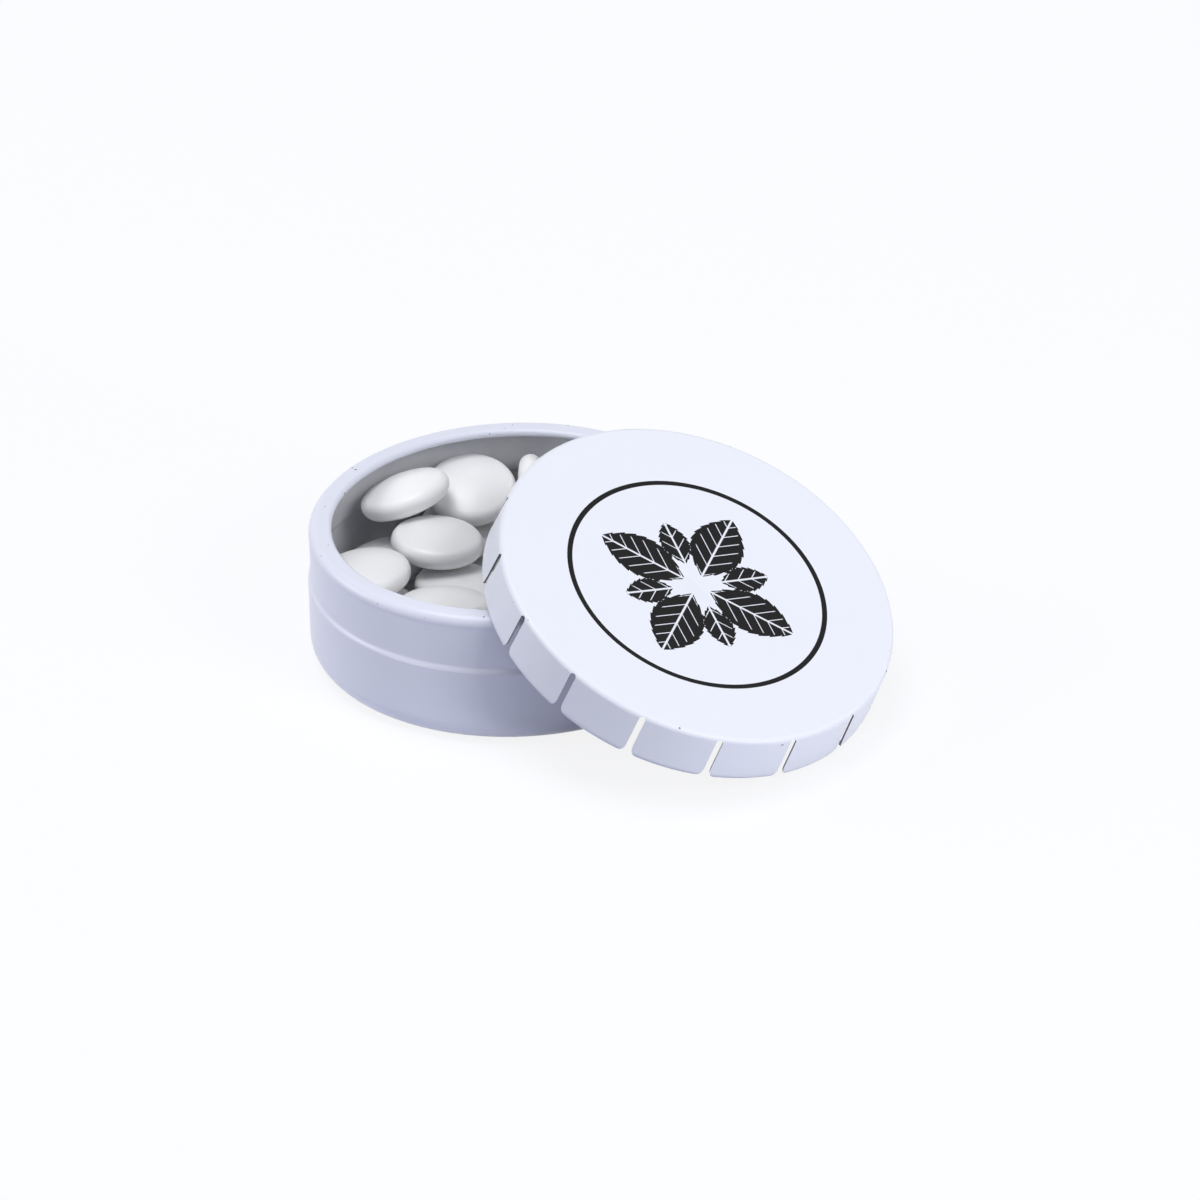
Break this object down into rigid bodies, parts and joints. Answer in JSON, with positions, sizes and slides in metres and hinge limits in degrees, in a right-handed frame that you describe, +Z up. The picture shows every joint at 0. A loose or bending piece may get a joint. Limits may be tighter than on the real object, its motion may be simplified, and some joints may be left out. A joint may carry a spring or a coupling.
{
  "type": "mint tin",
  "caption": "Round pressed-metal mint tin, open: a can with a rolled rim holding domed mints, and a lid with slit spring tabs that leans on the rim and lifts off.",
  "frame": {"origin": "centre of the can's flat base, on the table", "axes": "+Z up along the can's axis, +X towards the side on which the lid leans"},
  "size_m": [0.07, 0.0468, 0.0262],
  "materials": {
    "can_enamel": "gloss white enamel on tinplate, bare tin inside",
    "lid_enamel": "gloss white enamel on tinplate",
    "mint": "smooth pressed sugar with a slight sheen"
  },
  "bodies": {
    "tin": {"can": "can_enamel", "floor_mint_01": "mint", "floor_mint_02": "mint", "floor_mint_03": "mint", "floor_mint_04": "mint", "floor_mint_05": "mint", "floor_mint_06": "mint", "floor_mint_07": "mint", "floor_mint_08": "mint", "floor_mint_09": "mint", "floor_mint_10": "mint", "floor_mint_11": "mint", "floor_mint_12": "mint", "loose_mint_01": "mint", "loose_mint_02": "mint", "loose_mint_03": "mint", "loose_mint_04": "mint", "loose_mint_05": "mint", "loose_mint_06": "mint", "loose_mint_07": "mint", "loose_mint_08": "mint", "loose_mint_09": "mint", "loose_mint_10": "mint", "loose_mint_11": "mint", "loose_mint_12": "mint", "loose_mint_13": "mint", "loose_mint_14": "mint", "loose_mint_15": "mint", "loose_mint_16": "mint", "loose_mint_17": "mint", "loose_mint_19": "mint", "loose_mint_20": "mint"},
    "lid": {"lid": "lid_enamel"},
    "mint": {"loose_mint_18": "mint"}
  },
  "joints": [
    {"name": "lid_lift", "type": "slide", "parent": "tin", "child": "lid", "axis": [0, 0, 1], "range_m": [0, 0.05]},
    {"name": "mint_lift", "type": "slide", "parent": "tin", "child": "mint", "axis": [0, 0, 1], "range_m": [0, 0.022]}
  ]
}
